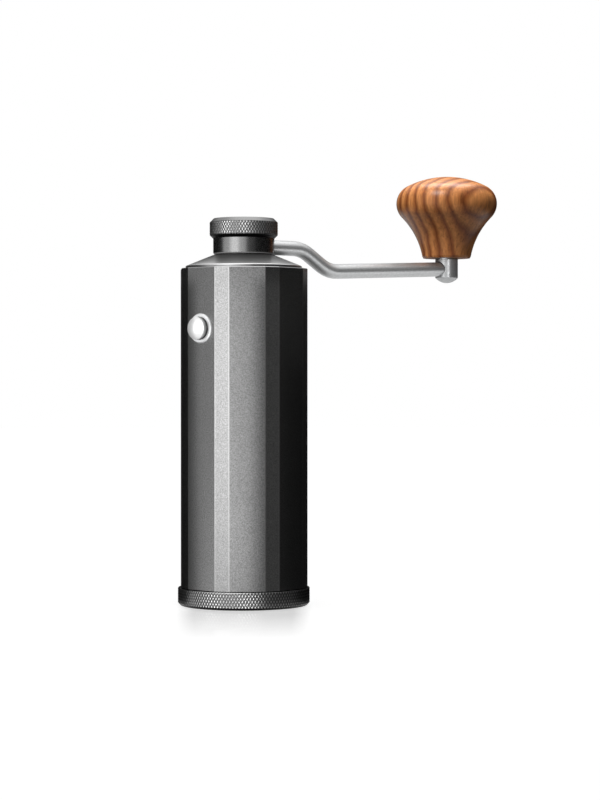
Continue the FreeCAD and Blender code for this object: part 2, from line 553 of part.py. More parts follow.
# The burr set: a fixed outer ring, its threaded retaining ring and the turning cone.
outer_burr = turned("outer_burr", [
    (LOW_BORE_R, RING_TOP), (BURR_R, RING_TOP), (BURR_R, BURR_SEAT), (TOP_BORE_R, BURR_SEAT)])
flute_foot = f"({RING_TOP} - {OVERCUT})"
flute_head = f"({BURR_SEAT} + {OVERCUT})"
flank_flutes(outer_burr, (f"{LOW_BORE_R} - {OVERCUT}", flute_foot), (f"{TOP_BORE_R} - {OVERCUT}", flute_head),
             (f"{LOW_BORE_R} + sizes.flute_depth / 2", flute_foot),
             (f"{TOP_BORE_R} + sizes.flute_depth * 1.5", flute_head), OUTER_FLUTES)
turned("burr_retaining_ring", rectangle(f"{LOW_BORE_R} + sizes.slide_gap * 2", f"{BURR_R} - sizes.seat_gap",
                                        CORE_BOTTOM, f"{RING_TOP} - sizes.seat_gap"))
CONE_R = f"({LOW_BORE_R} - sizes.burr_gap)"
CONE_MID_R = f"({TOP_BORE_R} - 2 * sizes.burr_gap)"
CONE_TOP_R = "(sizes.burr_nose_diameter / 2)"
BURR_BORE_R = f"({SHAFT_R} + sizes.running_gap)"
inner_burr = turned("inner_burr", [
    (BURR_BORE_R, BURR_BOTTOM), (CONE_R, BURR_BOTTOM), (CONE_R, RING_TOP), (CONE_MID_R, BURR_SEAT),
    (CONE_TOP_R, BURR_TOP), (BURR_BORE_R, BURR_TOP)], turn="sizes.crank_angle")
cone_head = f"({BURR_TOP} + {OVERCUT})"
flank_flutes(inner_burr, (f"{CONE_R} + {OVERCUT}", RING_TOP), (f"{CONE_TOP_R} + {OVERCUT}", cone_head),
             (f"{CONE_R} - sizes.flute_depth / 4", RING_TOP),
             (f"{CONE_TOP_R} - sizes.flute_depth", cone_head), INNER_FLUTES)
drive_slot = new_sketch(inner_burr, "XZ_Plane")
slot_side = "(sizes.drive_pin_diameter / 2 + sizes.running_gap)"
add_outline(drive_slot, rectangle(f"-{slot_side}", slot_side, SLOT_BOTTOM, cone_head))
extrude(inner_burr, drive_slot, f"2 * {BURR_R}", both_ways=True, cut=True)

# The drive shaft, with a hexagon for the crank, grooves for its clips and a thread for the dial.
CLIP_HEIGHT = f"({CORE_TOP} + sizes.seat_gap + sizes.running_gap)"
shaft = turned("drive_shaft", [
    ("0", SHAFT_BOTTOM), (THREAD_R, SHAFT_BOTTOM), *clip_groove(THREAD_R, END_CLIP), (THREAD_R, THREAD_TOP),
    (SHAFT_R, THREAD_TOP),
    *clip_groove(SHAFT_R, CLIP_HEIGHT), (SHAFT_R, HEX_START), ("0", HEX_START)], turn="sizes.crank_angle")
hex_end = new_sketch(shaft, "XY_Plane", HEX_START)
add_outline(hex_end, hexagon(HEX_CORNER_R))
extrude(shaft, hex_end, "sizes.hex_length")
PIN_HEIGHT = f"({SLOT_BOTTOM} + sizes.drive_pin_diameter / 2 + sizes.drive_pin_lift)"
cross_hole = new_sketch(shaft, "XZ_Plane")
add_circle(cross_hole, "0", PIN_HEIGHT, "sizes.drive_pin_diameter / 2 + sizes.seat_gap")
extrude(shaft, cross_hole, f"2 * {BURR_R}", both_ways=True, cut=True)
drive_pin = new_body("burr_drive_pin", turn="sizes.crank_angle")
pin_end = new_sketch(drive_pin, "XZ_Plane")
add_circle(pin_end, "0", PIN_HEIGHT, "sizes.drive_pin_diameter / 2")
extrude(drive_pin, pin_end, "sizes.drive_pin_length", both_ways=True)
open_clip("shaft_circlip", SHAFT_R, CLIP_HEIGHT, turn="sizes.crank_angle")
open_clip("end_clip", THREAD_R, END_CLIP, turn="sizes.crank_angle")
COIL_R = f"({SHAFT_R} + sizes.coil_clearance + sizes.coil_wire / 2)"
coil("burr_spring", COIL_R, "sizes.coil_wire", f"({BURR_TOP} + sizes.coil_end_gap)",
     f"({LOWER_BEARING} - {BURR_TOP} - 2 * sizes.coil_end_gap)", 4)

# The adjusting dial on the shaft's thread, with a sprung click ball in its upper face.
DIAL_R = "(sizes.dial_diameter / 2)"
BALL_R = "(sizes.click_ball_diameter / 2)"
dial = turned("adjust_dial", rectangle(f"{THREAD_R} + sizes.running_gap", DIAL_R, DIAL_BOTTOM, DIAL_TOP))
grip = new_sketch(dial, "XY_Plane", f"{DIAL_BOTTOM} - {OVERCUT}")
add_circle(grip, DIAL_R, "0", "sizes.dial_notch")
repeat(dial, extrude(dial, grip, f"sizes.dial_height + 2 * {OVERCUT}", reverse=True, cut=True), DIAL_NOTCHES)
pocket = new_sketch(dial, "XY_Plane", DIAL_TOP)
add_circle(pocket, "0", "sizes.click_radius", f"{BALL_R} + sizes.running_gap")
extrude(dial, pocket, "sizes.click_pocket_depth", cut=True)
BALL_MIDDLE = f"({DIAL_TOP} - {BALL_R})"
click_ball = doc.addObject("Part::Sphere", "click_ball")
click_ball.setExpression("Radius", BALL_R)
click_ball.setExpression("Placement.Base.y", "sizes.click_radius")
click_ball.setExpression("Placement.Base.z", BALL_MIDDLE)
nodes.append(click_ball)
POCKET_FLOOR = f"({DIAL_TOP} - sizes.click_pocket_depth)"
coil("click_spring", f"({BALL_R} - sizes.click_wire)", "sizes.click_wire",
     f"({POCKET_FLOOR} + sizes.coil_end_gap)",
     f"({BALL_MIDDLE} - {BALL_R} - {POCKET_FLOOR} - 2 * sizes.coil_end_gap)", 2, y="sizes.click_radius")

# The lid: a cone with a plug that seals in the mouth, and a bush that the crank turns in.
LID_RING_LOW = f"({PLUG_BOTTOM} + sizes.lid_ring_rise)"
PLUG_INNER_R = f"({PLUG_R} - sizes.lid_wall)"
BOSS_R = f"({BUSH_R} + sizes.lid_boss_wall)"
LID_HOLE_R = f"({BUSH_R} + sizes.seat_gap)"
LID_TOP_R = "(sizes.lid_top_diameter / 2)"
lid = turned("lid_cover", [
    (PLUG_INNER_R, PLUG_BOTTOM), (PLUG_R, PLUG_BOTTOM), *seal_groove(PLUG_R, MOUTH_R, LID_RING_LOW),
    (PLUG_R, SHELL_TOP), (LID_SEAT_R, SHELL_TOP), (LID_SEAT_R, f"{SHELL_TOP} + sizes.lid_gap"),
    (LID_R, f"{SHELL_TOP} + sizes.lid_gap"), (LID_R, LIP_TOP), (LID_TOP_R, LID_TOP), (LID_HOLE_R, LID_TOP),
    (LID_HOLE_R, BOSS_BOTTOM), (BOSS_R, BOSS_BOTTOM), (BOSS_R, f"{BOSS_BOTTOM} + sizes.lid_boss_height / 2"),
    (PLUG_INNER_R, f"{SHELL_TOP} - sizes.lid_wall")])
soften(lid, "Fillet", "sizes.lid_edge_round", ring_edge(LID_R, LIP_TOP))
seal("lid_o_ring", MOUTH_R, seal_middle(LID_RING_LOW))
BUSH_HOLE_R = f"({SPIGOT_R} + sizes.running_gap)"
FLANGE_R = f"({SPIGOT_R} + sizes.bush_flange)"
FLANGE_TOP = f"({HUB_BOTTOM} - sizes.running_gap)"
turned("lid_bush", [
    (BUSH_HOLE_R, BOSS_BOTTOM), (BUSH_R, BOSS_BOTTOM), (BUSH_R, LID_TOP), (FLANGE_R, LID_TOP),
    (FLANGE_R, FLANGE_TOP), (BUSH_HOLE_R, FLANGE_TOP)])

# The crank's hub with its hexagon socket, the knurled cap on top, and what holds the hub to the lid.
ROD_BORE_R = f"({ROD_R} + sizes.seat_gap)"
GRUB_R = "(sizes.grub_diameter / 2)"
GRUB_X = f"(({HUB_BOSS_R} + sizes.rod_root) / 2)"
hub = turned("crank_hub", [
    ("0", SPIGOT_BOTTOM), (SPIGOT_R, SPIGOT_BOTTOM), *clip_groove(SPIGOT_R, HUB_CLIP), (SPIGOT_R, HUB_BOTTOM),
    (f"{HUB_R} - sizes.hub_chamfer", HUB_BOTTOM), (HUB_R, f"{HUB_BOTTOM} + sizes.hub_chamfer"),
    (HUB_R, HUB_TOP), (HUB_BOSS_R, HUB_TOP), (HUB_BOSS_R, HUB_BOSS_TOP), ("0", HUB_BOSS_TOP)],
    turn="sizes.crank_angle")
socket = new_sketch(hub, "XY_Plane", SPIGOT_BOTTOM)
add_outline(socket, hexagon(f"({HEX_CORNER_R} + sizes.running_gap)"))
extrude(hub, socket, "sizes.hex_socket_depth", reverse=True, cut=True)
rod_bore = new_sketch(hub, "YZ_Plane", "sizes.rod_root - sizes.seat_gap")
add_circle(rod_bore, "0", ROD_HEIGHT, ROD_BORE_R)
extrude(hub, rod_bore, HUB_R, reverse=True, cut=True)
grub_bore = new_sketch(hub, "XY_Plane", HUB_BOSS_TOP)
add_circle(grub_bore, GRUB_X, "0", f"{GRUB_R} + sizes.seat_gap")
extrude(hub, grub_bore, f"{HUB_BOSS_TOP} - {ROD_HEIGHT}", cut=True)
GRUB_BOTTOM = f"({ROD_HEIGHT} + {ROD_R} + sizes.seat_gap)"
GRUB_TOP = f"({HUB_BOSS_TOP} - sizes.grub_recess)"
grub = new_body("arm_grub_screw", turn="sizes.crank_angle")
grub_end = new_sketch(grub, "XY_Plane", GRUB_BOTTOM)
add_circle(grub_end, GRUB_X, "0", GRUB_R)
extrude(grub, grub_end, f"{GRUB_TOP} - {GRUB_BOTTOM}")
grub_socket = new_sketch(grub, "XY_Plane", GRUB_TOP)
grub_corners = hexagon("(sizes.grub_socket / 2 / cos(30))")
add_outline(grub_socket, [(f"{GRUB_X} + {x}", y) for x, y in grub_corners])
extrude(grub, grub_socket, "sizes.grub_socket_depth", cut=True)
CAP_HOLE_R = f"({HUB_BOSS_R} + sizes.seat_gap)"
CAP_BOTTOM = f"({HUB_TOP} + sizes.seat_gap)"
CAP_ROOF = f"({HUB_BOSS_TOP} + sizes.slide_gap)"
turned("crank_cap", [
    (CAP_HOLE_R, CAP_BOTTOM), (HUB_R, CAP_BOTTOM), (CAP_R, f"{CAP_BOTTOM} + sizes.cap_low_chamfer"),
    (CAP_R, f"{CAP_TOP} - sizes.cap_top_chamfer"), (f"{CAP_R} - sizes.cap_top_chamfer", CAP_TOP),
    ("0", CAP_TOP), ("0", CAP_ROOF), (CAP_HOLE_R, CAP_ROOF)], turn="sizes.crank_angle")
turned("hub_washer", rectangle(BUSH_HOLE_R, f"{SPIGOT_R} + sizes.washer_width", WASHER_BOTTOM, WASHER_TOP))
open_clip("hub_circlip", SPIGOT_R, HUB_CLIP, turn="sizes.crank_angle")

# The crank arm: a rod that leaves the hub level, falls through an easy double bend and rises to the spindle.
FALL = "sizes.rod_fall_angle"
RISE = "sizes.rod_rise_angle"
FALL_X = f"(sizes.rod_level + sizes.rod_bend * sin({FALL}))"
FALL_Z = f"({ROD_HEIGHT} - sizes.rod_bend * (1 - cos({FALL})))"
LOW_X = f"({FALL_X} + sizes.rod_slope * cos({FALL}))"
LOW_Z = f"({FALL_Z} - sizes.rod_slope * sin({FALL}))"
EASE_X = f"({LOW_X} + sizes.rod_bend * (sin({FALL}) + sin({RISE})))"
EASE_Z = f"({LOW_Z} + sizes.rod_bend * (cos({FALL}) - cos({RISE})))"
SPINDLE_Z = f"({EASE_Z} + (sizes.crank_radius - {EASE_X}) * tan({RISE}))"
TIP_X = "(sizes.crank_radius + sizes.rod_tip)"
TIP_Z = f"({SPINDLE_Z} + sizes.rod_tip * tan({RISE}))"
arm = new_body("crank_arm", turn="sizes.crank_angle")
path = new_sketch(arm, "XZ_Plane")
legs = [(("sizes.rod_root", ROD_HEIGHT), ("sizes.rod_level", ROD_HEIGHT)),
        ((FALL_X, FALL_Z), (LOW_X, LOW_Z)), ((EASE_X, EASE_Z), (TIP_X, TIP_Z))]
bend_middles = [(f"sizes.rod_level + sizes.rod_bend * sin({FALL} / 2)",
                 f"{ROD_HEIGHT} - sizes.rod_bend * (1 - cos({FALL} / 2))"),
                (f"{LOW_X} + sizes.rod_bend * (sin({FALL}) - sin(({FALL} - {RISE}) / 2))",
                 f"{LOW_Z} + sizes.rod_bend * (cos({FALL}) - cos(({FALL} - {RISE}) / 2))")]
leg_lines = []
for leg_start, leg_end in legs:
    line = path.addGeometry(Part.LineSegment(spot(*leg_start), spot(*leg_end)))
    hold_point(path, line, 1, *leg_start)
    hold_point(path, line, 2, *leg_end)
    leg_lines.append(line)
for place, middle in enumerate(bend_middles):
    bend = Part.Arc(spot(*legs[place][1]), spot(*middle), spot(*legs[place + 1][0]))
    curve = path.addGeometry(bend)
    near, far = (2, 1) if place == 0 else (1, 2)
    path.addConstraint(Sketcher.Constraint("Coincident", curve, near, leg_lines[place], 2))
    path.addConstraint(Sketcher.Constraint("Coincident", curve, far, leg_lines[place + 1], 1))
    hold_radius(path, curve, "sizes.rod_bend")
rod_section = new_sketch(arm, "YZ_Plane", "sizes.rod_root")
add_circle(rod_section, "0", ROD_HEIGHT, ROD_R)
doc.recompute()
rod = arm.newObject("PartDesign::AdditivePipe", "rod")
rod.Profile = rod_section
rod.Spine = (path, [])
doc.recompute()

# The spindle at the end of the arm, and the knob that spins on it.
spindle_place = {"x": "sizes.crank_radius * cos(sizes.crank_angle)",
                 "y": "sizes.crank_radius * sin(sizes.crank_angle)", "turn": "sizes.crank_angle"}
SPINDLE_R = "(sizes.spindle_diameter / 2)"
PIN_R = "(sizes.pin_diameter / 2)"
SPINDLE_BOTTOM = f"({SPINDLE_Z} - sizes.spindle_below)"
SHOULDER = f"({SPINDLE_Z} + sizes.spindle_above)"
KNOB_BOTTOM = f"({SHOULDER} + sizes.washer_thickness + 2 * sizes.running_gap)"
KNOB_BORE_R = f"({PIN_R} + sizes.running_gap + sizes.bushing_wall)"
SNAP_RING = f"({KNOB_BOTTOM} + sizes.bushing_length + 2 * sizes.running_gap)"
PIN_TOP = f"({KNOB_BOTTOM} + sizes.pin_length)"
SPINDLE_DOME_R = f"(({SPINDLE_R} ^ 2 + sizes.spindle_dome ^ 2) / (2 * sizes.spindle_dome))"
spindle = turned("knob_spindle", [
    ("0", SPINDLE_BOTTOM), (SPINDLE_R, f"{SPINDLE_BOTTOM} + sizes.spindle_dome"), (SPINDLE_R, SHOULDER),
    (PIN_R, SHOULDER), *clip_groove(PIN_R, SNAP_RING), (PIN_R, PIN_TOP), ("0", PIN_TOP)],
    dome=(0, SPINDLE_DOME_R, f"{SPINDLE_BOTTOM} + {SPINDLE_DOME_R}"), **spindle_place)
cross_bore = new_sketch(spindle, "YZ_Plane", "sizes.rod_tip + sizes.slide_gap")
add_circle(cross_bore, "0", f"{SPINDLE_Z} - ({SPINDLE_R} - sizes.rod_tip) / 2 * tan({RISE})",
           f"{ROD_BORE_R} + ({SPINDLE_R} + sizes.rod_tip) / 2 * tan({RISE}) + sizes.seat_gap")
extrude(spindle, cross_bore, "sizes.spindle_diameter", cut=True)
turned("knob_washer", rectangle(f"{PIN_R} + sizes.running_gap", SPINDLE_R, f"{SHOULDER} + sizes.running_gap",
                                f"{KNOB_BOTTOM} - sizes.running_gap"), **spindle_place)
open_clip("spindle_snap_ring", PIN_R, SNAP_RING, **spindle_place)
turned("knob_bushing", rectangle(f"{PIN_R} + sizes.running_gap", KNOB_BORE_R, KNOB_BOTTOM,
                                 f"{KNOB_BOTTOM} + sizes.bushing_length"), **spindle_place)

# The wooden knob: a flat foot, a hollow flare, a round shoulder and a wide crown, all tangent.
knob = new_body("knob_grip", z=KNOB_BOTTOM, **spindle_place)
outline = new_sketch(knob, "XZ_Plane")
neck_r = number("sizes.knob_neck / 2")
neck_z = number("sizes.knob_edge")
shoulder_r = number("sizes.knob_shoulder_radius")
crown_r = number("sizes.knob_crown_radius")
flare_r = number("sizes.knob_flare_radius")
crown_centre = FreeCAD.Vector(0, number("sizes.knob_height") - crown_r, 0)
shoulder_x = number("sizes.knob_diameter / 2") - shoulder_r
shoulder_centre = FreeCAD.Vector(
    shoulder_x, crown_centre.y + ((crown_r - shoulder_r) ** 2 - shoulder_x ** 2) ** 0.5, 0)
neck = FreeCAD.Vector(neck_r, neck_z, 0)
span = shoulder_centre - neck
along = (span.Length ** 2 + flare_r ** 2 - (flare_r + shoulder_r) ** 2) / (2 * span.Length)
across = (flare_r ** 2 - along ** 2) ** 0.5
forward = span / span.Length
flare_centre = neck + forward * along + FreeCAD.Vector(forward.y, -forward.x, 0) * across
flare_end = shoulder_centre + (flare_centre - shoulder_centre) * (shoulder_r / (shoulder_r + flare_r))
crown_start = crown_centre + (shoulder_centre - crown_centre) * (crown_r / (crown_r - shoulder_r))
crown_top = FreeCAD.Vector(0, number("sizes.knob_height"), 0)
foot_r = "sizes.knob_neck / 2 - sizes.knob_edge / 2"
bore_r = f"({KNOB_BORE_R} + sizes.seat_gap)"
bore_top = "(sizes.pin_length + sizes.knob_bore_end_gap)"
foot_spot = spot(foot_r, "0")
corners = [crown_top, spot("0", bore_top), spot(bore_r, bore_top), spot(bore_r, "0"), foot_spot, neck]
edges = [outline.addGeometry(Part.LineSegment(here, there)) for here, there in zip(corners, corners[1:])]
flare = outline.addGeometry(bow(neck, flare_end, flare_centre, flare_r))
shoulder = outline.addGeometry(bow(flare_end, crown_start, shoulder_centre, shoulder_r))
crown = outline.addGeometry(bow(crown_start, crown_top, crown_centre, crown_r))
for here, there in zip(edges, edges[1:]):
    outline.addConstraint(Sketcher.Constraint("Coincident", here, 2, there, 1))
places = [("0", "sizes.knob_height"), ("0", bore_top), (bore_r, bore_top), (bore_r, "0"), (foot_r, "0")]
for line, (x, y) in zip(edges, places):
    hold_point(outline, line, 1, x, y)
hold_point(outline, edges[4], 2, "sizes.knob_neck / 2", "sizes.knob_edge")
join_ends(outline, "Coincident", flare, edges[-1], neck)
join_ends(outline, "Coincident", crown, edges[0], crown_top)
join_ends(outline, "Tangent", flare, shoulder, flare_end)
join_ends(outline, "Tangent", shoulder, crown, crown_start)
outline.addConstraint(Sketcher.Constraint("PointOnObject", crown, 3, -2))
for curve, radius in ((flare, "sizes.knob_flare_radius"), (shoulder, "sizes.knob_shoulder_radius"),
                      (crown, "sizes.knob_crown_radius")):
    hold_radius(outline, curve, radius)
index = outline.addConstraint(Sketcher.Constraint("DistanceX", -1, 1, shoulder, 3, shoulder_x))
outline.setExpression(f"Constraints[{index}]", "sizes.knob_diameter / 2 - sizes.knob_shoulder_radius")
turn_profile(knob, outline)

doc.recompute()
failed = [item.Label for item in doc.Objects if {"Invalid", "Error"} & set(item.State)]
failed += [node.Label for node in nodes if node.Shape.isNull() or not node.Shape.isValid()]
if failed:
    raise RuntimeError("pieces that failed: " + ", ".join(failed))
os.makedirs("parts", exist_ok=True)
for node in nodes:
    node.Shape.exportStep(f"parts/{node.Label}.step")
print(len(nodes), "pieces written")
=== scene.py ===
import json
import math

import bpy
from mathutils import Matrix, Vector


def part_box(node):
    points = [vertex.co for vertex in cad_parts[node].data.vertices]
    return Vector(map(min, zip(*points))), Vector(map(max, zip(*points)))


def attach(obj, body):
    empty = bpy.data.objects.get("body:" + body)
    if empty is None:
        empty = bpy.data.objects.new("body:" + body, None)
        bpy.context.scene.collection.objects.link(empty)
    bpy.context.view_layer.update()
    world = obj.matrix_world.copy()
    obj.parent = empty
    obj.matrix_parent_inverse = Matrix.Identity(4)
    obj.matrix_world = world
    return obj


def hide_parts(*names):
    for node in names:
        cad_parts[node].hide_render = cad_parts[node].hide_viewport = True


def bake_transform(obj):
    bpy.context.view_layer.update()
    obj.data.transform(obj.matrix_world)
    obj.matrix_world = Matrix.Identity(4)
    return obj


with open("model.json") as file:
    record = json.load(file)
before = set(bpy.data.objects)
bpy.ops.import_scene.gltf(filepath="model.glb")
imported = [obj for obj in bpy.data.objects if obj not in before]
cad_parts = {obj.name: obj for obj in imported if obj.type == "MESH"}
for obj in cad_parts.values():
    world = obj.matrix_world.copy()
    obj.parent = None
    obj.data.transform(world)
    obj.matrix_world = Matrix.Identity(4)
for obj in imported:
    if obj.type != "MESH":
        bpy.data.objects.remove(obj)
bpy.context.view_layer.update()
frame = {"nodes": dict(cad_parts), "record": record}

MM = 0.001
DIAGONAL = math.sqrt(0.5)
NODES = frame["nodes"]


# Short names for the shader nodes that the materials are built from.

def tree_of(name):
    """A new material, its node tree and its main shader."""
    material = bpy.data.materials.new(name)
    material.use_nodes = True
    tree = material.node_tree
    return material, tree, tree.nodes["Principled BSDF"]


def link(tree, source, target):
    tree.links.new(source, target)


def put(tree, socket, value):
    """Feed a socket from another node, or set it to a plain value."""
    if isinstance(value, bpy.types.NodeSocket):
        link(tree, value, socket)
    else:
        socket.default_value = value


def grey(tone):
    return tone, tone, tone, 1


def place(tree, scale=(1, 1, 1), shift=(0, 0, 0)):
    """Object coordinates, scaled and then moved by shift."""
    source = tree.nodes.new("ShaderNodeTexCoord")
    mapping = tree.nodes.new("ShaderNodeMapping")
    mapping.inputs["Location"].default_value = shift
    mapping.inputs["Scale"].default_value = scale
    link(tree, source.outputs["Object"], mapping.inputs["Vector"])
    return mapping.outputs["Vector"]


def split_xyz(tree, vector):
    """A vector's three parts, by name."""
    node = tree.nodes.new("ShaderNodeSeparateXYZ")
    link(tree, vector, node.inputs["Vector"])
    return node.outputs


def noise(tree, vector, scale, detail=2.0, rough=0.5):
    node = tree.nodes.new("ShaderNodeTexNoise")
    put(tree, node.inputs["Vector"], vector)
    node.inputs["Scale"].default_value = scale
    node.inputs["Detail"].default_value = detail
    node.inputs["Roughness"].default_value = rough
    return node.outputs["Fac"]


def ramp(tree, source, stops):
    """A colour ramp; each stop is a place and a grey level or a colour."""
    node = tree.nodes.new("ShaderNodeValToRGB")
    put(tree, node.inputs["Fac"], source)
    elements = node.color_ramp.elements
    while len(elements) < len(stops):
        elements.new(0.5)
    for element, (spot, tone) in zip(elements, stops):
        element.position = spot
        element.color = (*tone, 1) if isinstance(tone, tuple) else grey(tone)
    return node.outputs["Color"]


def calc(tree, operation, first, second=0.0):
    node = tree.nodes.new("ShaderNodeMath")
    node.operation = operation
    put(tree, node.inputs[0], first)
    put(tree, node.inputs[1], second)
    return node.outputs["Value"]


def blend(tree, kind, share, first, second):
    """Two colours mixed; share, first and second are sockets or plain values."""
    node = tree.nodes.new("ShaderNodeMix")
    node.data_type = "RGBA"
    node.blend_type = kind
    put(tree, node.inputs["Factor"], share)
    put(tree, node.inputs[6], first)
    put(tree, node.inputs[7], second)
    return node.outputs[2]


def relief(tree, shader, height, strength, depth):
    node = tree.nodes.new("ShaderNodeBump")
    node.inputs["Strength"].default_value = strength
    node.inputs["Distance"].default_value = depth
    link(tree, height, node.inputs["Height"])
    link(tree, node.outputs["Normal"], shader.inputs["Normal"])


def around_axis(tree):
    """Distance from the grinder's axis and height, as two sockets."""
    at = split_xyz(tree, place(tree))
    squares = calc(tree, "ADD", calc(tree, "POWER", at["X"], 2.0), calc(tree, "POWER", at["Y"], 2.0))
    return calc(tree, "SQRT", squares), at["Z"]


def span(tree, source, low, high):
    """A value brought from low..high to 0..1."""
    node = tree.nodes.new("ShaderNodeMapRange")
    put(tree, node.inputs["Value"], source)
    node.inputs["From Min"].default_value = low
    node.inputs["From Max"].default_value = high
    return node.outputs["Result"]


def surface_mix(tree, share, first, second):
    """The material's surface: two shaders mixed by share."""
    mix = tree.nodes.new("ShaderNodeMixShader")
    link(tree, share, mix.inputs[0])
    link(tree, first, mix.inputs[1])
    link(tree, second, mix.inputs[2])
    link(tree, mix.outputs["Shader"], tree.nodes["Material Output"].inputs["Surface"])


# The shell's own places: a painted highlight lightens its facet edges and upper rim, and a painted shadow
# line darkens its foot.
CORNER_CHAMFER = 3.24 * MM
SHELL_FACET, _, SHELL_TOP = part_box("casing_shell")[1]
SHELL_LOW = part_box("casing_shell")[0][2]
FACET_HALF = SHELL_FACET * math.tan(math.pi / 8) - CORNER_CHAMFER
EDGE_RADIUS = math.hypot(SHELL_FACET, FACET_HALF) - 0.015 * MM
EDGE_BAND = 0.035 * MM
RIM_START, RIM_FULL = SHELL_TOP - 0.40 * MM, SHELL_TOP - 0.25 * MM
FOOT_SHADOW_TOP, FOOT_SHADOW_FADE, FOOT_SHADOW_TONE = SHELL_LOW + 0.35 * MM, 0.05 * MM, 0.004

# Painted highlights on turned edges: the band under the hub's lip, and the lid's outer edge measured in from
# its radius.
HIGHLIGHT_TONE = 0.75
LIP_BAND, LIP_FADE_LOW, LIP_FADE_HIGH = 0.50 * MM, 0.05 * MM, 0.02 * MM
LID_BAND_IN, LID_BAND_FULL, LID_BAND_OUT, LID_BAND_END = 0.45 * MM, 0.35 * MM, 0.06 * MM, 0.02 * MM
RING_PITCH = 0.12 * MM


def anodised(name, dark, light, rough, grain_size, edge_highlight_tone=None, bump=0.25, lip=None):
    """Blasted metal; an edge tone paints highlights on the shell's edges and top rim and a shadow line at its
    foot, lip tops a painted highlight band.
    """
    material, tree, shader = tree_of(name)
    grain = noise(tree, place(tree), 1 / grain_size, 3.0, 0.6)
    cloud = noise(tree, place(tree), 60.0)
    tone = ramp(tree, grain, [(0.30, dark), (0.70, light)])
    tone = blend(tree, "MULTIPLY", 0.35, tone, ramp(tree, cloud, [(0.3, 0.82), (0.7, 1.0)]))
    roughness = ramp(tree, grain, [(0.25, rough + 0.05), (0.75, rough - 0.04)])
    shader.inputs["Metallic"].default_value = 1.0
    # Painted highlight along the shell's facet edges and top rim.
    if edge_highlight_tone is not None:
        radius, height = around_axis(tree)
        edge = span(tree, radius, EDGE_RADIUS - EDGE_BAND, EDGE_RADIUS)
        edge = calc(tree, "MAXIMUM", edge, span(tree, height, RIM_START, RIM_FULL))
        tone = blend(tree, "MIX", edge, tone, grey(edge_highlight_tone))
        # Painted shadow line along the shell's foot, where it meets the base ring.
        foot_shadow = span(tree, height, FOOT_SHADOW_TOP + FOOT_SHADOW_FADE, FOOT_SHADOW_TOP)
        tone = blend(tree, "MIX", foot_shadow, tone, grey(FOOT_SHADOW_TONE))
    # Painted highlight: a bright band just under the hub's lip.
    if lip is not None:
        _, height = around_axis(tree)
        foot = lip - LIP_BAND
        edge = calc(tree, "MULTIPLY", span(tree, height, lip + LIP_FADE_HIGH, lip),
                    span(tree, height, foot, foot + LIP_FADE_LOW))
        tone = blend(tree, "MIX", edge, tone, grey(HIGHLIGHT_TONE))
        link(tree, calc(tree, "SUBTRACT", 1.0, edge), shader.inputs["Metallic"])
    link(tree, tone, shader.inputs["Base Color"])
    link(tree, roughness, shader.inputs["Roughness"])
    relief(tree, shader, grain, bump, 0.03 * MM)
    return material


def turned_metal(name, dark, light, rough, hub=None, rim=None):
    """Metal with fine rings left by the lathe about the grinder's axis.

    With hub and rim, two radii, painted shade under the hub lifts as the tone rises outwards, and a painted
    highlight makes a bright edge at the rim.
    """
    material, tree, shader = tree_of(name)
    radius, height = around_axis(tree)
    along = tree.nodes.new("ShaderNodeCombineXYZ")
    link(tree, radius, along.inputs["X"])
    link(tree, height, along.inputs["Y"])
    rings = noise(tree, along.outputs["Vector"], 1 / RING_PITCH, 2.0, 0.6)
    speck = noise(tree, place(tree), 2400.0)
    tone = ramp(tree, rings, [(0.3, dark), (0.7, light)])
    tone = blend(tree, "MULTIPLY", 0.3, tone, ramp(tree, speck, [(0.3, 0.75), (0.7, 1.0)]))
    # Painted shade darkest at the hub, rising outwards, and a painted highlight along the rim's edge.
    if rim is not None:
        shade_under_hub = ramp(tree, span(tree, radius, hub, rim),
                    [(0.0, 0.08), (0.12, 0.12), (0.35, 0.26), (0.7, 0.55), (1.0, 1.0)])
        tone = blend(tree, "MULTIPLY", 1.0, tone, shade_under_hub)
        edge = calc(tree, "MULTIPLY", span(tree, radius, rim - LID_BAND_IN, rim - LID_BAND_FULL),
                    span(tree, radius, rim - LID_BAND_END, rim - LID_BAND_OUT))
        tone = blend(tree, "MIX", edge, tone, grey(HIGHLIGHT_TONE))
    link(tree, tone, shader.inputs["Base Color"])
    link(tree, ramp(tree, rings, [(0.3, rough + 0.05), (0.7, rough - 0.03)]), shader.inputs["Roughness"])
    shader.inputs["Metallic"].default_value = 1.0
    relief(tree, shader, rings, 0.12, 0.02 * MM)
    return material


def steel(name, tone, rough, grain=900.0, bump=0.08, metallic=1.0):
    """Bare metal with a fine satin grain."""
    material, tree, shader = tree_of(name)
    lines = noise(tree, place(tree), grain, 4.0, 0.6)
    smear = noise(tree, place(tree), 140.0)
    dark = tuple(part * 0.86 for part in tone)
    shade = ramp(tree, lines, [(0.3, dark), (0.7, tone)])
    shade = blend(tree, "MULTIPLY", 0.25, shade, ramp(tree, smear, [(0.3, 0.85), (0.7, 1.0)]))
    link(tree, shade, shader.inputs["Base Color"])
    link(tree, ramp(tree, lines, [(0.3, rough + 0.04), (0.7, rough - 0.03)]), shader.inputs["Roughness"])
    shader.inputs["Metallic"].default_value = metallic
    relief(tree, shader, lines, bump, 0.02 * MM)
    return material


knob_low, knob_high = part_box("knob_grip")
KNOB_X, KNOB_Y = (knob_low[0] + knob_high[0]) / 2, (knob_low[1] + knob_high[1]) / 2
KNOB_LOW = knob_low[2]

# The wood's growth layers: the way across them, their spacing, their offset and how far they wander.
LAYERS_X, LAYERS_Y = 0.70, -0.71
LAYER_PITCH, LAYER_OFFSET, LAYER_DRIFT = 4.7 * MM, 0.70 * MM, 5.0 * MM
LATE_WOOD = (0.200, 0.054, 0.014)


